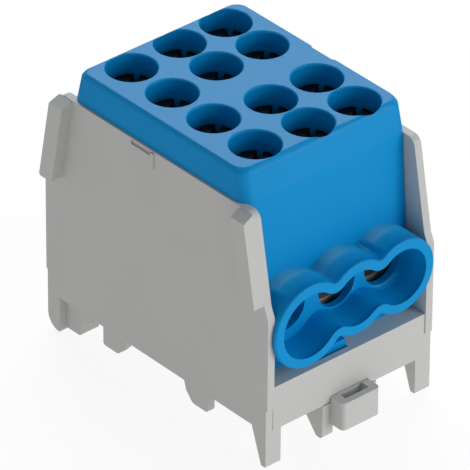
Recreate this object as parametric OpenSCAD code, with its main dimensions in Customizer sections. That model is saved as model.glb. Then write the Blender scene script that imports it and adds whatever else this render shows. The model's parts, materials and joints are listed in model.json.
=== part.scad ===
// Rail-mount power distribution block: three through conductors, twelve clamp screws.
// +X is across the block, -Y is the side with the rail latch, +Z is up, the feet stand on z = 0.

/* [Rail] */
// Width of the rail over its two flanges
rail_w = 35; // [33:0.1:38]
// Clear width between the rail's flanges
rail_gap = 25; // [24:0.1:26]
// Thickness of the rail's sheet
rail_t = 1; // [0.8:0.1:1.4]
// Height of the seat on the rail above the feet
seat_z = 6.3; // [5.8:0.1:7]
// Clearance round the rail
rail_clear = 0.1; // [0.05:0.05:0.3]
// Reach of a catch under the rail's flange
catch_reach = 1.3; // [1:0.1:1.6]
// Width of a corner leg
leg_w = 3; // [2.5:0.1:3.6]
// Width of a tab that goes down between the flanges
tab_w = 5.5; // [4.5:0.1:7]
// Height of the tabs' lower ends
tab_z = 3.1; // [2.6:0.1:3.6]

/* [Housing] */
// Distance from a flange's edge to the outer face of an end beam
end_reach = 8; // [7.5:0.1:10]
// Amount a side wall's end stands out past the beam
wall_over = 0.2; // [0.1:0.1:0.6]
// Thickness of a side wall
wall_t = 1.35; // [1.1:0.05:1.6]
// Gap between the terminal block and the left wall
left_gap = 1.45; // [1.4:0.05:2.4]
// Gap between the terminal block and the right wall
right_gap = 0.65; // [0.6:0.05:1.6]
// Amount each wall end steps in where its upper part starts
wall_step = 0.8; // [0.3:0.1:1.2]
// Height of a side wall's upper part
wall_upper_h = 15.4; // [14:0.1:17]
// Slant of a wall's upper ends, in millimetres inwards for each millimetre up
wall_slant = 0.18; // [0.1:0.01:0.22]
// Height of an end beam
beam_h = 7.7; // [7:0.1:8.4]
// Depth of an end beam, front to back
beam_d = 3.7; // [3.5:0.1:4.2]
// Thickness of the beam's walls and the inner ribs
moulding_t = 1.1; // [0.9:0.1:1.3]
// Thickness of the floor
floor_t = 1.4; // [1:0.1:1.8]
// Height of the ribs that carry the terminal block
rest_h = 8.55; // [8:0.05:10]
// Reach of the coupling ribs out of the left wall
rib_out = 2; // [1:0.1:3]
// Width of a coupling rib along the wall
rib_w = 3; // [2:0.1:4]

/* [Cover] */
// Height of the cap above the side walls
cap_h = 5.3; // [5:0.1:7]
// Amount the skirt's end faces lean in over their height
skirt_draft = 2.1; // [1.8:0.1:2.4]
// Amount the cap's end faces lean in up to the flat top
cap_draft = 1.8; // [1.5:0.1:2]
// Radius of the top edge's rounding
edge_r = 0.9; // [0.4:0.1:1]
// Radius of the cap's upright corners
corner_r = 2; // [1.5:0.1:2.2]
// Thickness of the cover's walls
cover_t = 1.2; // [1:0.1:1.3]
// Thickness of the cover's top
top_t = 2.3; // [2:0.1:2.6]
// Clearance between the skirt and the side walls
skirt_gap = 0.1; // [0.05:0.05:0.2]
// Amount the cap's side stands back from the wall's outer face
cap_setback = 0.4; // [0.3:0.1:0.8]
// Radius of a screw access hole
access_r = 4; // [3.8:0.05:4.05]
// Radius of the rounding on an access hole's rim
rim_r = 0.3; // [0.1:0.05:0.35]
// Amount a shaft is wider than its access hole
shaft_over = 0.1; // [0.05:0.05:0.1]
// Thickness of a shaft's wall
shaft_t = 0.8; // [0.6:0.1:1]

/* [Funnels] */
// Distance the collar's lip stands out past the beam
lip_over = 1.1; // [0.9:0.1:2]
// Thickness of the collar's lip
lip_t = 1.3; // [1.1:0.05:1.5]
// Mouth radius of the left funnel
wide_mouth_r = 5.85; // [5.7:0.05:6.1]
// Mouth radius of the other funnels
mouth_r = 5.05; // [5:0.05:5.2]
// Radius of a funnel's narrow end
ring_r = 4.4; // [4.35:0.05:4.5]
// Radius of the hole at a funnel's narrow end
throat_r = 3.65; // [3.55:0.05:3.65]
// Radius of the fillet in the valleys between the funnels, outside
valley_r = 0.8; // [0.6:0.1:1.2]
// Depth of the lip flange that stands in front of the side wall
flange_d = 0.8; // [0.5:0.1:0.8]

/* [Conductors] */
// Distance between the left and the middle conductor
left_pitch = 10; // [9.9:0.1:10.4]
// Distance between the middle and the right conductor
right_pitch = 9.2; // [9.1:0.1:9.6]
// Radius of a conductor bore
bore_r = 3.5; // [3.2:0.05:3.55]
// Metal left beside the outer bores
terminal_wall = 1.1; // [0.8:0.1:1.3]
// Metal left under the bores
terminal_base = 1.5; // [1:0.1:2]
// Metal left past the outer screws
terminal_end = 1.15; // [0.9:0.05:1.3]
// Height of the metal above a bore, which holds the thread
thread_h = 6.5; // [5:0.1:7]

/* [Screws] */
// Distance between the two screws at one end of the middle and right conductors
row_pitch = 8.45; // [8.4:0.05:9]
// Distance between the two screws at one end of the left conductor
left_row_pitch = 9.4; // [8.6:0.1:9.6]
// Amount an outer access hole reaches past the flat top's edge
hole_over = 0.65; // [0.5:0.05:0.7]
// The same for the left conductor
left_hole_over = 0.1; // [0:0.05:0.3]
// Radius of a screw's threaded shank
shank_r = 3; // [2.5:0.1:3]
// Radial clearance of the shank in its tapped hole
thread_clear = 0.05; // [0.02:0.01:0.1]
// Radius of a screw's head
head_r = 3.4; // [3.1:0.1:3.5]
// Height of a screw's head
head_h = 4; // [3:0.1:4.5]
// Room between the terminal block and the underside of a screw's head
head_room = 8.6; // [8:0.1:10]
// Depth of a screw head's top under the cover's top face
head_depth = 3; // [2.4:0.1:4]
// Gap between an open screw's tip and the conductor bore
tip_gap = 0.2; // [0.1:0.1:1]
// Width of the driving slot
slot_w = 1.1; // [0.8:0.1:1.4]
// Depth of the driving slot
slot_h = 1.6; // [1:0.1:2]

/* [Latch] */
// Width of the latch's eye
eye_w = 7.5; // [7:0.1:8.4]
// Reach of the eye in front of the beam
eye_reach = 2.9; // [2.6:0.1:4.4]
// Thickness of the eye's front wall
eye_t = 1.1; // [0.9:0.1:1.2]
// Thickness of the eye's side arms
arm_t = 1.4; // [1.2:0.1:1.8]
// Radius of the eye's two front corners
eye_r = 0.8; // [0.4:0.1:1]
// Height of the eye
eye_h = 4.9; // [4.4:0.1:5.2]
// Height of the eye's lower edge
eye_low_z = 2.4; // [2.2:0.1:2.8]
// Width over the latch's two catch legs
catch_w = 10.8; // [10.4:0.1:11.4]
// Width of one catch leg
catch_leg_w = 2.1; // [1.8:0.1:2.4]
// Travel of the latch
latch_travel = 3.5; // [2:0.1:3.5]
// Sliding clearance round the latch
slide_gap = 0.1; // [0.05:0.05:0.15]

/* [Hidden] */
$fn = 64;
eps = 0.01;
steps = 6;                                      // facets in a computed rounding
rim_steps = 3;                                  // facets in the rounding of a hole's rim
arc_turn = 10;                                  // turn of one facet in a funnel's outline, in degrees

// Along the block, from the rail outwards
rail_edge = rail_w / 2;
half_beam = rail_edge + end_reach;              // outer face of an end beam
beam_in = half_beam - beam_d;                   // inner face of an end beam
half_l = half_beam + wall_over;                 // widest part of a side wall's end
low_end = half_beam - 0.1;                      // wall end beside the beam
upper_end = half_l - wall_step;                 // wall end at the start of its upper part
skirt_seat = 0.1;
skirt_foot_y = beam_in + skirt_seat;            // cover's end face where it stands on the beam
cap_foot_y = skirt_foot_y - skirt_draft;
top_y = cap_foot_y - cap_draft;                 // edge of the flat top
outer_screw_y = top_y + hole_over - access_r;
inner_screw_y = outer_screw_y - row_pitch;
left_outer_screw_y = top_y + left_hole_over - access_r;
left_inner_screw_y = left_outer_screw_y - left_row_pitch;
half_terminal = outer_screw_y + shank_r + terminal_end;
lip_y = half_beam + lip_over;
mouth_d = 1.4;                                  // depth of the straight part of a mouth
cone_step = 0.15;                               // step between the mouth's wall and a cone
web_taper = 0.6;                                // height of the opening between two cones, back to front
ring_y = skirt_foot_y - 0.5;                    // narrow end of a funnel
eye_front = half_beam + eye_reach;
catch_y = rail_edge - catch_reach;              // tip of a catch under the flange

// Across the block, from the conductors outwards
terminal_w = left_pitch + right_pitch + 2 * (bore_r + terminal_wall);
inner_w = (left_gap + terminal_w + right_gap) / 2;
half_w = inner_w + wall_t;                      // outer face of a side wall
left_x = -inner_w + left_gap + terminal_wall + bore_r;
mid_x = left_x + left_pitch;
right_x = mid_x + right_pitch;
columns = [left_x, mid_x, right_x];
terminal_x = (left_x + right_x) / 2;
skirt_w = inner_w - skirt_gap;                  // half width of the cover's skirt
cap_w = half_w - cap_setback;                   // half width of the cap at its lower edge
cap_side_draft = 0.25;
shaft_r = access_r + shaft_over;

// Upwards, from the seat on the rail
low_h = 4.2;
low_z = seat_z + low_h;                         // where a wall's end widens
beam_top_z = seat_z + beam_h;
slide_depth = 2.15;                             // room for the latch plate above the seat
floor_z = seat_z + slide_depth;
floor_top = floor_z + floor_t;
terminal_z = floor_top + rest_h;
conductor_z = terminal_z + terminal_base + bore_r;
terminal_top = conductor_z + bore_r + thread_h;
head_top = terminal_top + head_room + head_h;
cover_top_z = head_top + head_depth;
wall_top_z = cover_top_z - cap_h;
wall_step_z = wall_top_z - wall_upper_h;
top_end = upper_end - wall_slant * wall_upper_h;
wall_corner_r = 1.6;
shaft_z = terminal_top + 1.5;                   // lower end of the access shafts
tip_z = conductor_z + bore_r + tip_gap;
slot_turn = 35;
catch_z = seat_z - rail_t - rail_clear;         // upper face of a catch
eye_top_z = eye_low_z + eye_h;

function screw_rows(column) = column == 0
    ? [-left_outer_screw_y, -left_inner_screw_y, left_inner_screw_y, left_outer_screw_y]
    : [-outer_screw_y, -inner_screw_y, inner_screw_y, outer_screw_y];

// A funnel's mouth lies a little off its conductor: [across, up]
mouth_shift = [[0.45, -0.55], [0, 0.25], [-0.45, 0.3]];
mouth_centres = [for (i = [0:2]) [columns[i], conductor_z] + mouth_shift[i]];
mouth_radii = [wide_mouth_r, mouth_r, mouth_r];

// The box's middle is the origin of the part
shift = [rib_out / 2, (eye_front - lip_y) / 2, 0];

// A point of an outline is [x, y, r]: a corner of radius r
function unit(v) = v / norm(v);
function corner(a, b, c, r) = r == 0 ? [b] :
    let (u = unit(a - b), v = unit(c - b), half = acos(u * v) / 2,
        o = b + unit(u + v) * r / sin(half),
        p = b + u * r / tan(half) - o, q = b + v * r / tan(half) - o,
        start = atan2(p.y, p.x), turn = (atan2(q.y, q.x) - start + 540) % 360 - 180)
    [for (i = [0:steps]) o + r * [cos(start + turn * i / steps), sin(start + turn * i / steps)]];
function flat_point(p) = [p.x, p.y];
function rounded(points) = let (n = len(points)) [for (i = [0:n - 1])
    each corner(flat_point(points[(i + n - 1) % n]), flat_point(points[i]),
        flat_point(points[(i + 1) % n]), points[i].z)];
function mirrored(points) = [for (i = [len(points) - 1:-1:0]) [-points[i].x, points[i].y, points[i].z]];

// Extrudes an outline drawn in y and z from x = from to x = to
module along_x(from, to) {
    translate([from, 0, 0]) rotate([90, 0, 90]) linear_extrude(to - from) children();
}

module box(low, high) {
    translate(low) cube(high - low);
}

module placed() {
    translate(shift) children();
}

module both_ends() {
    children();
    mirror([0, 1, 0]) children();
}

module both_sides() {
    children();
    mirror([1, 0, 0]) children();
}

// One end of a side wall, from the seat up to the top edge, as [y, z, r]
wall_end = [[low_end, seat_z, 0], [low_end, low_z - 0.3, 0], [half_l, low_z, 0],
    [half_l, wall_step_z - 1.8, 2], [upper_end, wall_step_z, 2], [top_end, wall_top_z, wall_corner_r]];
tab_outer = rail_gap / 2 - 0.3;
tab_outline = [[tab_outer - tab_w, seat_z + 1, 0], [tab_outer - tab_w, seat_z, 0.3],
    [tab_outer - tab_w + 0.5, tab_z + 1.6, 0.8], [tab_outer - tab_w + 2, tab_z, 1],
    [tab_outer, tab_z, 0.5], [tab_outer, seat_z + 1, 0]];
front_leg = [[-low_end, seat_z + 1, 0], [-low_end, 0, 0.2], [-low_end + 1, 0, 0.2],
    [-low_end + 1.3, 0.8, 0.2], [-low_end + 3.2, seat_z, 0], [-low_end + 3.2, seat_z + 1, 0]];
rear_foot = [[low_end - 2.8, seat_z + 1, 0], [low_end - 2.8, 0, 0.2], [low_end, 0, 2.6],
    [low_end, seat_z + 1, 0]];
rear_catch = [[low_end - 2.8 + eps, 0.4, 0.3], [rail_edge + 1.7, 0.4, 0.4], [rail_edge + 1.7, 2.4, 0.4],
    [catch_y, catch_z - 0.9, 0.3], [catch_y, catch_z, 0.1], [rail_edge + rail_clear, catch_z, 0],
    [rail_edge + rail_clear, seat_z + 1, 0], [low_end - 2.8 + eps, seat_z + 1, 0]];

module side_wall() {
    along_x(inner_w, half_w) {
        polygon(rounded(concat(wall_end, mirrored(wall_end))));
        polygon(rounded(tab_outline));
        polygon(rounded(mirrored(tab_outline)));
    }
}

module legs() {
    along_x(half_w - leg_w, half_w) {
        polygon(rounded(front_leg));
        polygon(rounded(rear_foot));
    }
    along_x(half_w - leg_w - 2, half_w - wall_t) polygon(rounded(rear_catch));
}

// Hollow beam, open below, that the cover's skirt stands on
module end_beam() {
    difference() {
        box([-inner_w - eps, beam_in, seat_z], [inner_w + eps, half_beam, beam_top_z]);
        box([-inner_w - 1, beam_in + moulding_t, seat_z - 1],
            [inner_w + 1, half_beam - moulding_t, beam_top_z - moulding_t]);
    }
}

// Pocket in the front beam's top for the cover's snap tongue
tongue_x = [-6.5, 0.5];
tongue_gap = 0.15;
tongue_z = 9.2;
tongue_y = half_beam - moulding_t - 0.5;
module tongue_pocket() {
    box([tongue_x[0] - tongue_gap, -half_beam + moulding_t, beam_top_z - moulding_t - eps],
        [tongue_x[1] + tongue_gap, -beam_in - moulding_t, beam_top_z + 1]);
}

// Guide for the latch plate: a channel under the floor with a ledge along each side
plate_w = catch_w / 2;
wing_w = plate_w + 1.6;
ledge_z = seat_z + 1;
plate_from = -beam_in + latch_travel + 0.2;
plate_to = -rail_edge * 0.35;
guide_from = -beam_in + 0.3;
guide_to = plate_to + 1;
module latch_guide() {
    both_sides() {
        box([plate_w + slide_gap, guide_from, seat_z], [wing_w + moulding_t, guide_to, ledge_z]);
        box([wing_w + slide_gap, guide_from, seat_z], [wing_w + moulding_t, guide_to, floor_z + eps]);
    }
}

// The latch's arms and plate pass through the front beam here
module latch_notch() {
    box([-eye_w / 2 - slide_gap, -half_beam - 1, seat_z - 1],
        [eye_w / 2 + slide_gap, -beam_in + 1, eye_top_z + slide_gap]);
}

// Coupling rib on the left wall's outside, along the slanted wall end
rib_low_z = wall_step_z + 0.3;
rib_top_z = wall_top_z - 0.1;
function slant_y(z) = upper_end - wall_slant * (z - wall_step_z);
rib_outline = [[slant_y(rib_low_z), rib_low_z, 0.4], [slant_y(rib_top_z), rib_top_z, 0.3],
    [slant_y(rib_top_z) - rib_w, rib_top_z, 0.3], [slant_y(rib_low_z) - rib_w, rib_low_z, 0.3]];
module coupling_rib() {
    difference() {
        along_x(-half_w - rib_out, -half_w + eps) polygon(rounded(rib_outline));
        translate([-half_w, 0, rib_top_z]) rotate([0, -24, 0])
            box([-rib_out - 2, 0, 0], [0, half_l, 3]);
    }
}

// Shallow marker seat and a stub rib at the middle of the left wall's top
module marker_seat() {
    box([-half_w - 1, 0.9, wall_top_z - 1.1], [-half_w + 0.35, 5.6, wall_top_z - 0.2]);
}

module marker_rib() {
    box([-half_w - 0.3, 0.2, wall_top_z - 3], [-half_w + eps, 1.1, wall_top_z - 0.3]);
}

// Cross ribs that carry the terminal block
rest_y = half_terminal * 0.58;
module terminal_rest() {
    box([-inner_w - eps, rest_y, floor_top - eps], [inner_w + eps, rest_y + moulding_t, terminal_z]);
}

module housing() {
    color("#bcbcb8") placed() difference() {
        union() {
            both_sides() {
                side_wall();
                legs();
            }
            both_ends() {
                end_beam();
                terminal_rest();
                coupling_rib();
            }
            box([-inner_w - eps, -beam_in - eps, floor_z], [inner_w + eps, beam_in + eps, floor_top]);
            latch_guide();
            marker_rib();
        }
        tongue_pocket();
        latch_notch();
        marker_seat();
    }
}

// The cover's end face, as [y, z]: nearly upright, with more slant above the cap's lower edge
function end_outline(inset, low_z) = [[skirt_foot_y - inset, low_z], [cap_foot_y - inset, wall_top_z],
    [-cap_foot_y + inset, wall_top_z], [-skirt_foot_y + inset, low_z]];

module cap_slab(half_x, half_y, z) {
    translate([0, 0, z]) linear_extrude(eps) hull() both_ends() both_sides()
        translate([half_x - corner_r, half_y - corner_r]) circle(corner_r, $fn = 32);
}

// The cap: slanted ends, upright corners and a rounded top edge
module cap_solid() {
    shoulder_y = cap_foot_y - (cap_foot_y - top_y) * 0.55;
    hull() {
        cap_slab(cap_w, cap_foot_y, wall_top_z);
        cap_slab(cap_w - cap_side_draft * 0.8, shoulder_y + 0.1, cover_top_z - edge_r);
        cap_slab(cap_w - cap_side_draft - edge_r * 0.13, shoulder_y - edge_r * 0.22,
            cover_top_z - edge_r * 0.5);
        cap_slab(cap_w - cap_side_draft - edge_r * 0.4, top_y + edge_r * 0.2, cover_top_z - edge_r * 0.13);
        cap_slab(cap_w - cap_side_draft - edge_r * 0.7, top_y, cover_top_z - eps);
    }
}

module skirt_solid(inset, low_z) {
    along_x(-skirt_w + inset, skirt_w - inset) polygon(end_outline(inset, low_z));
}

// Extrudes an outline drawn in x and z towards the front, from y = -from to y = -to
module to_front(from, to) {
    translate([0, -from, 0]) rotate([90, 0, 0]) linear_extrude(to - from) children();
}

// Centre of the fillet of radius f that touches two circles from outside, above or below them
function fillet_centre(a, ra, b, rb, f, side) =
    let (d = norm(b - a), u = (b - a) / d, t = (d * d + (ra + f) ^ 2 - (rb + f) ^ 2) / (2 * d))
    a + u * t + side * [-u.y, u.x] * sqrt((ra + f) ^ 2 - t * t);

// Points of the arc round o from the side of p to the side of q
function arc(o, r, p, q, turn) =
    let (from = atan2(p.y - o.y, p.x - o.x), to = atan2(q.y - o.y, q.x - o.x),
        sweep = turn > 0 ? (to - from + 720) % 360 : -((from - to + 720) % 360),
        n = ceil(abs(sweep) / arc_turn))
    [for (i = [0:n - 1]) o + r * [cos(from + sweep * i / n), sin(from + sweep * i / n)]];

// Outline round three circles with centres c and radii r, its valleys filleted with radius f
function lobed(c, r, f) =
    let (up1 = fillet_centre(c[0], r[0], c[1], r[1], f, 1), low1 = fillet_centre(c[0], r[0], c[1], r[1], f, -1),
        up2 = fillet_centre(c[1], r[1], c[2], r[2], f, 1), low2 = fillet_centre(c[1], r[1], c[2], r[2], f, -1))
    concat(arc(c[0], r[0], up1, low1, 1), arc(low1, f, c[0], c[1], -1),
        arc(c[1], r[1], low1, low2, 1), arc(low2, f, c[1], c[2], -1),
        arc(c[2], r[2], low2, up2, 1), arc(up2, f, c[2], c[1], -1),
        arc(c[1], r[1], up2, up1, 1), arc(up1, f, c[1], c[0], -1));

// The three funnels share one collar; its lip is a flange in front of the side walls
module collar_solid() {
    intersection() {
        to_front(cap_foot_y - cover_t, lip_y)
            polygon(lobed(mouth_centres, [for (r = mouth_radii) r + lip_t], valley_r));
        union() {
            box([-skirt_w, -lip_y - 1, 0], [skirt_w, 0, cover_top_z]);
            box([-half_w, -lip_y - 1, 0], [half_w, -lip_y + flange_d, cover_top_z]);
        }
    }
}

// Opening between two neighbouring cones, lower towards the back
module funnel_web(i) {
    middle = (mouth_centres[i] + mouth_centres[i + 1]) / 2;
    fillet_r = valley_r + lip_t;
    f = fillet_centre(mouth_centres[i], mouth_radii[i], mouth_centres[i + 1], mouth_radii[i + 1], fillet_r, 1);
    high = f.y - middle.y - fillet_r - 0.1;
    front_y = -lip_y + mouth_d - 0.1;
    along_x(mouth_centres[i].x, mouth_centres[i + 1].x)
        polygon([[front_y, middle.y - high], [front_y, middle.y + high],
            [-ring_y - 0.4, middle.y + high * web_taper], [-ring_y - 0.4, middle.y - high * web_taper]]);
}

// The funnels' inside: one joined mouth, then a cone round each hole
module funnel_holes() {
    to_front(lip_y - mouth_d, lip_y + 1) polygon(lobed(mouth_centres, mouth_radii, valley_r + lip_t));
    for (i = [0:2]) translate([mouth_centres[i].x, 0, mouth_centres[i].y]) rotate([90, 0, 0])
        translate([0, 0, ring_y])
            cylinder(r1 = ring_r, r2 = mouth_radii[i] - cone_step, h = lip_y - mouth_d + 0.1 - ring_y);
    for (i = [0:1]) funnel_web(i);
    for (x = columns) translate([x, 0, conductor_z]) rotate([90, 0, 0]) cylinder(r = throat_r, h = lip_y - 1);
}

// Rounding of an access hole's rim, as the space it takes away
module rim_cut() {
    rotate_extrude() polygon(concat([[0, cover_top_z - rim_r]],
        [for (i = [0:rim_steps]) [access_r + rim_r - rim_r * cos(90 * i / rim_steps),
            cover_top_z - rim_r + rim_r * sin(90 * i / rim_steps)]],
        [[access_r + rim_r, cover_top_z + 1], [0, cover_top_z + 1]]));
}

module at_screws() {
    for (i = [0:2]) for (y = screw_rows(i)) translate([columns[i], y, 0]) children();
}

module snap_tongue() {
    box([tongue_x[0], -tongue_y, tongue_z],
        [tongue_x[1], -beam_in - moulding_t - tongue_gap, beam_top_z + eps]);
    box([tongue_x[0], -tongue_y, beam_top_z], [tongue_x[1], -skirt_foot_y + 1, beam_top_z + 1.2]);
}

// Shallow notch in the cap's right side
module cap_notch() {
    along_notch = [[cap_w - 1, -3.8, 0.4], [cap_w + 1, -5.2, 0], [cap_w + 1, 2.5, 0], [cap_w - 1, 1.1, 0.4]];
    translate([0, 0, wall_top_z - 1]) linear_extrude(cap_h + 2) polygon(rounded(along_notch));
}

// Space inside the cover: open below, with the access shafts left standing in it
module cavity() {
    difference() {
        union() {
            skirt_solid(cover_t, beam_top_z - 1);
            box([-skirt_w + cover_t, -cap_foot_y + cover_t, wall_top_z - eps],
                [skirt_w - cover_t, cap_foot_y - cover_t, cover_top_z - top_t]);
        }
        at_screws() translate([0, 0, shaft_z]) cylinder(r = shaft_r + shaft_t, h = cover_top_z);
    }
    box([-half_w, -beam_in + 1.9, 0], [half_w, beam_in - 1.9, shaft_z]);
}

module cover() {
    color("#0290cc") placed() difference() {
        union() {
            cap_solid();
            skirt_solid(0, beam_top_z);
            both_ends() collar_solid();
            snap_tongue();
        }
        cavity();
        both_ends() funnel_holes();
        at_screws() {
            translate([0, 0, shaft_z - 1]) cylinder(r = shaft_r, h = cover_top_z - shaft_z - top_t + 1);
            cylinder(r = access_r, h = cover_top_z + 1);
            rim_cut();
        }
        cap_notch();
    }
}

module terminal_block() {
    color("#b9bcbf") placed() difference() {
        box([terminal_x - terminal_w / 2, -half_terminal, terminal_z],
            [terminal_x + terminal_w / 2, half_terminal, terminal_top]);
        for (x = columns) translate([x, 0, conductor_z]) rotate([90, 0, 0])
            cylinder(r = bore_r, h = 2 * half_terminal + 2, center = true);
        at_screws() translate([0, 0, conductor_z])
            cylinder(r = shank_r + thread_clear, h = terminal_top - conductor_z + 1);
    }
}

// Clamp screw: a cylindrical slotted head over a shank with a chamfered tip
module clamp_screw(x, y) {
    color("#3a3d40") placed() translate([x, y, 0]) difference() {
        rotate_extrude() polygon(rounded([[0, tip_z, 0], [shank_r - 0.6, tip_z, 0], [shank_r, tip_z + 0.6, 0],
            [shank_r, head_top - head_h, 0], [head_r, head_top - head_h, 0], [head_r, head_top, 0.4],
            [0, head_top, 0]]));
        translate([0, 0, head_top - slot_h / 2 + 0.5]) rotate([0, 0, slot_turn])
            cube([2 * head_r + 1, slot_w, slot_h + 1], center = true);
    }
}

// Catch leg of the latch in y and z, with the nose that grips under the rail's flange
arm_end = rail_edge + 0.5;
catch_leg = [[-half_beam - 0.1, seat_z - slide_gap, 0], [-half_beam - 0.1, 0.25, 0.7],
    [-half_beam + 1.3, 0.25, 0.6], [-half_beam + 3.5, 2.9, 1], [-catch_y, catch_z - 0.6, 0.2],
    [-catch_y, catch_z, 0.1], [-arm_end, catch_z, 0], [-arm_end, seat_z - slide_gap, 0]];
eye_outline = [[-eye_w / 2, -arm_end, 0], [-eye_w / 2, -eye_front, eye_r], [eye_w / 2, -eye_front, eye_r],
    [eye_w / 2, -arm_end, 0]];
module rail_latch() {
    color("#b4b4b0") placed() {
        both_sides() along_x(catch_w / 2 - catch_leg_w, catch_w / 2) polygon(rounded(catch_leg));
        difference() {
            translate([0, 0, eye_low_z]) linear_extrude(eye_h) polygon(rounded(eye_outline));
            box([-eye_w / 2 + arm_t, -eye_front + eye_t, 0],
                [eye_w / 2 - arm_t, -half_beam - 0.1, cover_top_z]);
        }
        box([-plate_w, plate_from, seat_z + slide_gap + 0.05], [plate_w, plate_to, floor_z - slide_gap]);
        box([-wing_w, plate_from, ledge_z + slide_gap], [wing_w, plate_to, floor_z - slide_gap]);
    }
}

housing();
cover();
terminal_block();
rail_latch();
clamp_screw(left_x, screw_rows(0)[0]);  // clamp_screw_l1
clamp_screw(left_x, screw_rows(0)[1]);  // clamp_screw_l2
clamp_screw(left_x, screw_rows(0)[2]);  // clamp_screw_l3
clamp_screw(left_x, screw_rows(0)[3]);  // clamp_screw_l4
clamp_screw(mid_x, screw_rows(1)[0]);  // clamp_screw_m1
clamp_screw(mid_x, screw_rows(1)[1]);  // clamp_screw_m2
clamp_screw(mid_x, screw_rows(1)[2]);  // clamp_screw_m3
clamp_screw(mid_x, screw_rows(1)[3]);  // clamp_screw_m4
clamp_screw(right_x, screw_rows(2)[0]);  // clamp_screw_r1
clamp_screw(right_x, screw_rows(2)[1]);  // clamp_screw_r2
clamp_screw(right_x, screw_rows(2)[2]);  // clamp_screw_r3
clamp_screw(right_x, screw_rows(2)[3]);  // clamp_screw_r4
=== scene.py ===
"""Rail-mount power distribution block: grey moulded base, blue cover, clamp screws and rail latch."""
import json
from math import cos, pi, radians, sin

import bmesh
import bpy
from mathutils import Matrix, Vector


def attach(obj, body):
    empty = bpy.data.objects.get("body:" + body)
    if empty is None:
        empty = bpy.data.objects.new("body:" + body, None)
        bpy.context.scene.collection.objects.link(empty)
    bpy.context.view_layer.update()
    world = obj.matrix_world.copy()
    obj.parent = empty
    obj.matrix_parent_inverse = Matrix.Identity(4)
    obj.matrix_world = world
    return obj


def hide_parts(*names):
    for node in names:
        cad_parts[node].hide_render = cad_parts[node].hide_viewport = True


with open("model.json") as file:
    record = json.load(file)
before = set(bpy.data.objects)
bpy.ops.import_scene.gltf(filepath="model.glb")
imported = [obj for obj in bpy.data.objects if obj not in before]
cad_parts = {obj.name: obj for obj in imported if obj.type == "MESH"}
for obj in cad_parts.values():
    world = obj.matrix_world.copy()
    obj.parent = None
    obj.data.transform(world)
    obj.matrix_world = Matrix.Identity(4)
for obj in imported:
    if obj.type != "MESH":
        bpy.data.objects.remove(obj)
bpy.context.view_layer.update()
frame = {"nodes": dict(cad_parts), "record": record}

MM = 0.001
BLOCK_BODY = "block"
MOUTH_DEPTH = 5.2 * MM
MOUTH_TAPER_MM = 0.8
LIP_ROUND_MM = 0.35


# ---------------------------------------------------------------- node helpers

def linear(code):
    """An sRGB hex value such as "c4c3bd" as linear red, green, blue and alpha."""
    channels = [int(code[i:i + 2], 16) / 255 for i in (0, 2, 4)]
    return [c / 12.92 if c <= 0.04045 else ((c + 0.055) / 1.055) ** 2.4 for c in channels] + [1.0]


def add_node(tree, kind, settings=None, **sockets):
    """Adds a node. A socket gets a value, or a link where an output socket is given; _ stands for a space."""
    node = tree.nodes.new(kind)
    for name, value in (settings or {}).items():
        setattr(node, name, value)
    for name, value in sockets.items():
        key = int(name[2:]) if name.startswith("in") and name[2:].isdigit() else name.replace("_", " ")
        if isinstance(value, bpy.types.NodeSocket):
            tree.links.new(value, node.inputs[key])
        else:
            node.inputs[key].default_value = value
    return node


def new_material(name):
    material = bpy.data.materials.new(name)
    material.use_nodes = True
    tree = material.node_tree
    tree.nodes.clear()
    place = add_node(tree, "ShaderNodeTexCoord").outputs["Object"]
    return material, tree, place


def finish_material(tree, **shader_inputs):
    shader = add_node(tree, "ShaderNodeBsdfPrincipled", **shader_inputs)
    add_node(tree, "ShaderNodeOutputMaterial", Surface=shader.outputs[0])


def per_mm(size):
    """Noise scale whose features are about that many millimetres wide, on coordinates in metres."""
    return 1000 / size


def moulded_plastic(name, light, dark, roughness, grain_mm, grain_depth_mm, sheen):
    """Injection-moulded plastic: an even colour with faint flow clouding, and the tool's spark-eroded grain,
    which spreads the reflections. The real grain is 0.05 to 0.1 mm wide and is drawn coarser to show."""
    material, tree, place = new_material(name)
    cloud = add_node(tree, "ShaderNodeTexNoise", Vector=place, Scale=per_mm(14.0), Detail=3.0, Roughness=0.55)
    tone = add_node(tree, "ShaderNodeMix", {"data_type": "RGBA"}, Factor=cloud.outputs["Fac"])
    tone.inputs[6].default_value = linear(dark)
    tone.inputs[7].default_value = linear(light)
    grain = add_node(tree, "ShaderNodeTexNoise", Vector=place, Scale=per_mm(grain_mm), Detail=2.0, Roughness=0.6)
    gloss = add_node(tree, "ShaderNodeMapRange", Value=grain.outputs["Fac"], From_Min=0.3, From_Max=0.7,
                     To_Min=roughness - 0.05, To_Max=roughness + 0.05)
    bump = add_node(tree, "ShaderNodeBump", Height=grain.outputs["Fac"], Strength=0.35,
                    Distance=grain_depth_mm * MM)
    finish_material(tree, Base_Color=tone.outputs[2], Roughness=gloss.outputs[0], Normal=bump.outputs[0],
                    Specular_IOR_Level=sheen)
    return material


def tinned_brass():
    """Machined brass bar with a tin plating: pale metal with fine cutter marks along the bar."""
    material, tree, place = new_material("tinned_brass")
    stretched = add_node(tree, "ShaderNodeMapping", Vector=place, Scale=(1.0, 0.04, 1.0))
    marks = add_node(tree, "ShaderNodeTexNoise", Vector=stretched.outputs[0], Scale=per_mm(0.4), Detail=4.0)
    tone = add_node(tree, "ShaderNodeMix", {"data_type": "RGBA"}, Factor=marks.outputs["Fac"])
    tone.inputs[6].default_value = linear("d2d1cd")
    tone.inputs[7].default_value = linear("f2f0ea")
    gloss = add_node(tree, "ShaderNodeMapRange", Value=marks.outputs["Fac"], To_Min=0.42, To_Max=0.58)
    bump = add_node(tree, "ShaderNodeBump", Height=marks.outputs["Fac"], Strength=0.25, Distance=0.02 * MM)
    finish_material(tree, Base_Color=tone.outputs[2], Roughness=gloss.outputs[0], Normal=bump.outputs[0],
                    Metallic=1.0)
    return material


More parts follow.
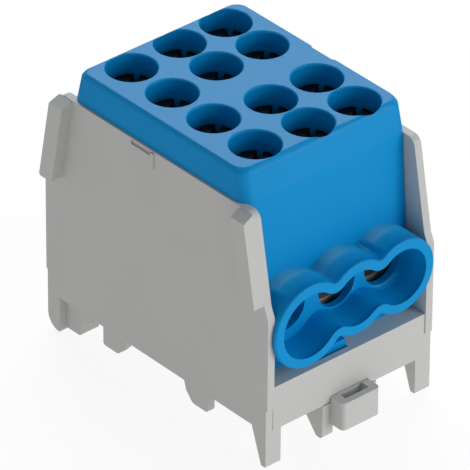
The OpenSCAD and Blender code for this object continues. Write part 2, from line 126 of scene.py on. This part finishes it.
def blackened_steel():
    """Steel screw with a black oxide finish: a dark metal with a soft oily sheen."""
    material, tree, place = new_material("blackened_steel")
    patches = add_node(tree, "ShaderNodeTexNoise", Vector=place, Scale=per_mm(1.2), Detail=5.0, Roughness=0.65)
    tone = add_node(tree, "ShaderNodeMix", {"data_type": "RGBA"}, Factor=patches.outputs["Fac"])
    tone.inputs[6].default_value = linear("0e0f12")
    tone.inputs[7].default_value = linear("242629")
    gloss = add_node(tree, "ShaderNodeMapRange", Value=patches.outputs["Fac"], To_Min=0.45, To_Max=0.6)
    bump = add_node(tree, "ShaderNodeBump", Height=patches.outputs["Fac"], Strength=0.3, Distance=0.02 * MM)
    finish_material(tree, Base_Color=tone.outputs[2], Roughness=gloss.outputs[0], Normal=bump.outputs[0],
                    Metallic=1.0)
    return material


def studio_paper():
    """Matt white paper sweep under the block."""
    material, tree, place = new_material("studio_paper")
    fibre = add_node(tree, "ShaderNodeTexNoise", Vector=place, Scale=per_mm(3.0), Detail=3.0)
    tone = add_node(tree, "ShaderNodeMix", {"data_type": "RGBA"}, Factor=fibre.outputs["Fac"])
    tone.inputs[6].default_value = linear("5f5f5e")
    tone.inputs[7].default_value = linear("656564")
    finish_material(tree, Base_Color=tone.outputs[2], Roughness=0.9, Emission_Color=linear("ffffff"),
                    Emission_Strength=PAPER_GLOW)
    return material


# ---------------------------------------------------------------- mesh helpers

def merged_copy(node, name):
    """The CAD node's mesh as a new object with shared corners and whole flat faces."""
    mesh = frame["nodes"][node].data.copy()
    mesh.name = name
    body = bmesh.new()
    body.from_mesh(mesh)
    bmesh.ops.remove_doubles(body, verts=body.verts, dist=0.0005 * MM)
    bmesh.ops.dissolve_limit(body, angle_limit=radians(0.2), verts=body.verts, edges=body.edges,
                             use_dissolve_boundaries=False)
    body.to_mesh(mesh)
    body.free()
    piece = bpy.data.objects.new(name, mesh)
    bpy.context.scene.collection.objects.link(piece)
    return piece


def soften_edges(piece, width_mm, least_angle=40.0, least_face_mm2=0.5):
    """Rounds the moulded piece's sharp outer and inner edges between faces of some size."""
    body = bmesh.new()
    body.from_mesh(piece.data)
    sharp = [e for e in body.edges if e.is_manifold and e.calc_face_angle(0) > radians(least_angle)
             and min(f.calc_area() for f in e.link_faces) > least_face_mm2 * MM * MM
             and e.calc_length() > 3 * width_mm * MM]
    bmesh.ops.bevel(body, geom=sharp, offset=width_mm * MM, offset_type="OFFSET", affect="EDGES", segments=2,
                    profile=0.5, clamp_overlap=True, material=-1)
    body.to_mesh(piece.data)
    body.free()


def in_outline(point, outline):
    """Whether a point in x and z lies inside a closed outline."""
    inside = False
    for a, b in zip(outline, outline[1:] + outline[:1]):
        if (a[1] > point[1]) != (b[1] > point[1]):
            inside ^= point[0] < a[0] + (b[0] - a[0]) * (point[1] - a[1]) / (b[1] - a[1])
    return inside


def in_order(edges):
    """The vertices of one closed run of edges, in order."""
    links = {}
    for edge in edges:
        for vert in edge.verts:
            links.setdefault(vert, []).append(edge)
    run = [edges[0].verts[0]]
    edge = edges[0]
    while True:
        vert = edge.other_vert(run[-1])
        if vert is run[0]:
            return run
        run.append(vert)
        edge = next(e for e in links[vert] if e is not edge)


def inward(run):
    """For each vertex of a flat run in x and z, the way in that keeps every side at an equal distance."""
    flat = [Vector((v.co.x, v.co.z)) for v in run]
    area = sum(a.x * b.y - b.x * a.y for a, b in zip(flat, flat[1:] + flat[:1]))
    side = 1 if area > 0 else -1
    ways = []
    for before, here, after in zip(flat[-1:] + flat, flat, flat[1:] + flat[:1]):
        first = (here - before).normalized()
        second = (after - here).normalized()
        normals = [Vector((-way.y, way.x)) * side for way in (first, second)]
        middle = (normals[0] + normals[1]).normalized()
        ways.append(middle / middle.dot(normals[0]))
    return ways


def blend_mouth(body, lip_y, depth, taper, lip_round):
    """Draws the joined funnel mouth as one smooth wall: a rounded lip, then a steady taper to the seat round
    the three holes."""
    towards = -1 if lip_y > 0 else 1
    seat_y = lip_y + towards * depth
    lip_faces = [f for f in body.faces if all(abs(v.co.y - lip_y) < 0.004 * MM for v in f.verts)]
    rim = [e for e in {e for f in lip_faces for e in f.edges} if sum(f in lip_faces for f in e.link_faces) == 1]
    runs = []
    while rim:
        run, todo = set(), [rim[0]]
        while todo:
            edge = todo.pop()
            if edge not in run:
                run.add(edge)
                todo += [e for v in edge.verts for e in v.link_edges if e in rim and e not in run]
        runs.append(in_order(list(run)))
        rim = [e for e in rim if e not in run]
    mouth = min(runs, key=lambda run: max(v.co.x for v in run) - min(v.co.x for v in run))
    reach = [(v.co.x - w.x * 0.05 * MM, v.co.z - w.y * 0.05 * MM) for v, w in zip(mouth, inward(mouth))]
    old = [f for f in body.faces if f not in lip_faces and all(
        -0.002 * MM < (v.co.y - lip_y) * towards < depth + 0.002 * MM and in_outline((v.co.x, v.co.z), reach)
        for v in f.verts)]
    bmesh.ops.delete(body, geom=old, context="FACES")
    profile = [(0.0, 0.0)] + [(depth * t, taper * t) for t in (0.25, 0.5, 0.75, 1.0)]
    last = mouth
    ways = inward(mouth)
    for down, inset in profile[1:]:
        ring = [body.verts.new((v.co.x + w.x * inset * MM, lip_y + towards * down, v.co.z + w.y * inset * MM))
                for v, w in zip(mouth, ways)]
        for k in range(len(ring)):
            body.faces.new((last[k - 1], last[k], ring[k], ring[k - 1]))
        last = ring
    seat = [e for e in body.edges if e.is_boundary and all(abs(v.co.y - seat_y) < 0.004 * MM for v in e.verts)]
    filled = bmesh.ops.triangle_fill(body, edges=seat, use_beauty=True, use_dissolve=False)["geom"]
    inner = [e for e in {e for f in filled if isinstance(f, bmesh.types.BMFace) for e in f.edges}
             if all(f in filled for f in e.link_faces)]
    bmesh.ops.dissolve_limit(body, angle_limit=radians(1.0), verts=[], edges=inner)
    lip = [e for run in runs for e in {e for v in run for e in v.link_edges}
           if all(v in run for v in e.verts)]
    bmesh.ops.bevel(body, geom=lip, offset=lip_round, offset_type="OFFSET", segments=3, profile=0.5,
                    affect="EDGES", clamp_overlap=True)


def blended_cover(piece):
    body = bmesh.new()
    body.from_mesh(piece.data)
    ends = [v.co.y for v in body.verts]
    for lip_y in (min(ends), max(ends)):
        blend_mouth(body, lip_y, MOUTH_DEPTH, MOUTH_TAPER_MM, LIP_ROUND_MM)
    bmesh.ops.recalc_face_normals(body, faces=body.faces)
    body.to_mesh(piece.data)
    body.free()


def shade(piece, material, angle=30.0):
    mesh = piece.data
    mesh.materials.clear()
    mesh.materials.append(material)
    mesh.shade_smooth()
    mesh.set_sharp_from_angle(angle=radians(angle))
    weights = piece.modifiers.new("weighted_normals", "WEIGHTED_NORMAL")
    weights.keep_sharp = True


def dress(node, name, body, material, width_mm=0.0, reshape=None):
    piece = merged_copy(node, name)
    if reshape:
        reshape(piece)
    if width_mm:
        soften_edges(piece, width_mm)
    shade(piece, material)
    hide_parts(node)
    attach(piece, body)
    return piece


# ---------------------------------------------------------------- pieces

HOUSING_GREY = moulded_plastic("light_grey_polyamide", "c5c5c1", "bfbfbb", 0.45, 0.22, 0.012, 0.35)
LATCH_GREY = moulded_plastic("light_grey_polyamide_latch", "c5c5c1", "bfbfbb", 0.42, 0.22, 0.012, 0.35)
COVER_BLUE = moulded_plastic("blue_polycarbonate", "0090cf", "008aca", 0.38, 0.2, 0.014, 0.16)
PLATED_BRASS = tinned_brass()
SCREW_STEEL = blackened_steel()

dress("housing", "housing_moulding", BLOCK_BODY, HOUSING_GREY, 0.3)
dress("cover", "blue_cover", BLOCK_BODY, COVER_BLUE, reshape=blended_cover)
dress("terminal_block", "terminal_bar", BLOCK_BODY, PLATED_BRASS, 0.4)
dress("rail_latch", "latch_slider", "rail_latch", LATCH_GREY, 0.2)
for column in "lmr":
    for row in "1234":
        screw = f"clamp_screw_{column}{row}"
        dress(screw, f"screw_{column}{row}", screw, SCREW_STEEL, 0.12)


# ---------------------------------------------------------------- stage, light and camera

def axes_at(azimuth, elevation):
    """The direction from the block to a place at that azimuth and elevation, in degrees."""
    a = radians(azimuth)
    e = radians(elevation)
    return Vector((sin(a) * cos(e), -cos(a) * cos(e), sin(e)))


def mount_place(name):
    for mount in frame["record"]["mounts"]:
        if mount["name"] == name:
            return Vector(mount["pos_m"])
    raise ValueError(name)


def paper_floor(size):
    mesh = bpy.data.meshes.new("paper_floor")
    body = bmesh.new()
    bmesh.ops.create_grid(body, x_segments=1, y_segments=1, size=size / 2)
    body.to_mesh(mesh)
    body.free()
    mesh.materials.append(studio_paper())
    floor = bpy.data.objects.new("paper_floor", mesh)
    bpy.context.scene.collection.objects.link(floor)
    floor.visible_glossy = False


def soft_box(name, azimuth, elevation, distance, width, height, watts, target):
    """A rectangular studio light that looks at the target."""
    light = bpy.data.lights.new(name, "AREA")
    light.shape = "RECTANGLE"
    light.size = width
    light.size_y = height
    light.energy = watts
    lamp = bpy.data.objects.new(name, light)
    way = axes_at(azimuth, elevation)
    lamp.matrix_world = (Matrix.Translation(target + way * distance)
                         @ way.to_track_quat("Z", "Y").to_matrix().to_4x4())
    bpy.context.scene.collection.objects.link(lamp)


def studio_world(strength):
    """White above the horizon and black below, so that the upright faces mirror nothing bright."""
    world = bpy.data.worlds.new("white_studio")
    world.use_nodes = True
    tree = world.node_tree
    tree.nodes.clear()
    way = add_node(tree, "ShaderNodeTexCoord").outputs["Generated"]
    height = add_node(tree, "ShaderNodeSeparateXYZ", Vector=way).outputs["Z"]
    above = add_node(tree, "ShaderNodeMapRange", Value=height, From_Min=-0.02, From_Max=0.02, To_Max=strength)
    back = add_node(tree, "ShaderNodeBackground", Color=linear("f3f8ff"), Strength=above.outputs[0])
    add_node(tree, "ShaderNodeOutputWorld", Surface=back.outputs[0])
    bpy.context.scene.world = world


PAPER_GLOW = 0.88
VIEW_AZIMUTH = -41.29
VIEW_ELEVATION = 33.20
VIEW_ROLL = 0.40
VIEW_DISTANCE = 1061.3 * MM
LENS_MM = 536.2
SENSOR_MM = 36.0
AIM_FROM_MIDDLE_BORE = Vector((-1.323, 0.182, -1.226)) * MM


def product_camera(target):
    data = bpy.data.cameras.new("product_camera")
    data.lens = LENS_MM
    data.sensor_width = SENSOR_MM
    data.clip_start = 0.05
    data.clip_end = 20.0
    camera = bpy.data.objects.new("product_camera", data)
    back = axes_at(VIEW_AZIMUTH, VIEW_ELEVATION)
    a = radians(VIEW_AZIMUTH)
    right = Vector((cos(a), sin(a), 0.0))
    up = back.cross(right)
    roll = radians(VIEW_ROLL)
    across = right * cos(roll) + up * sin(roll)
    upright = up * cos(roll) - right * sin(roll)
    turn = Matrix((across, upright, back)).transposed().to_4x4()
    camera.matrix_world = Matrix.Translation(target + back * VIEW_DISTANCE) @ turn
    bpy.context.scene.collection.objects.link(camera)
    bpy.context.scene.camera = camera


aim = mount_place("conductor_middle") + AIM_FROM_MIDDLE_BORE
product_camera(aim)
paper_floor(6.0)
studio_world(0.36)
soft_box("key_light", 25.0, 15.0, 0.9, 0.5, 0.5, 3.6, aim)
soft_box("back_light", VIEW_AZIMUTH + 180.0, 36.0, 0.9, 0.9, 0.6, 5.3, aim)
bpy.context.scene.view_settings.view_transform = "Standard"
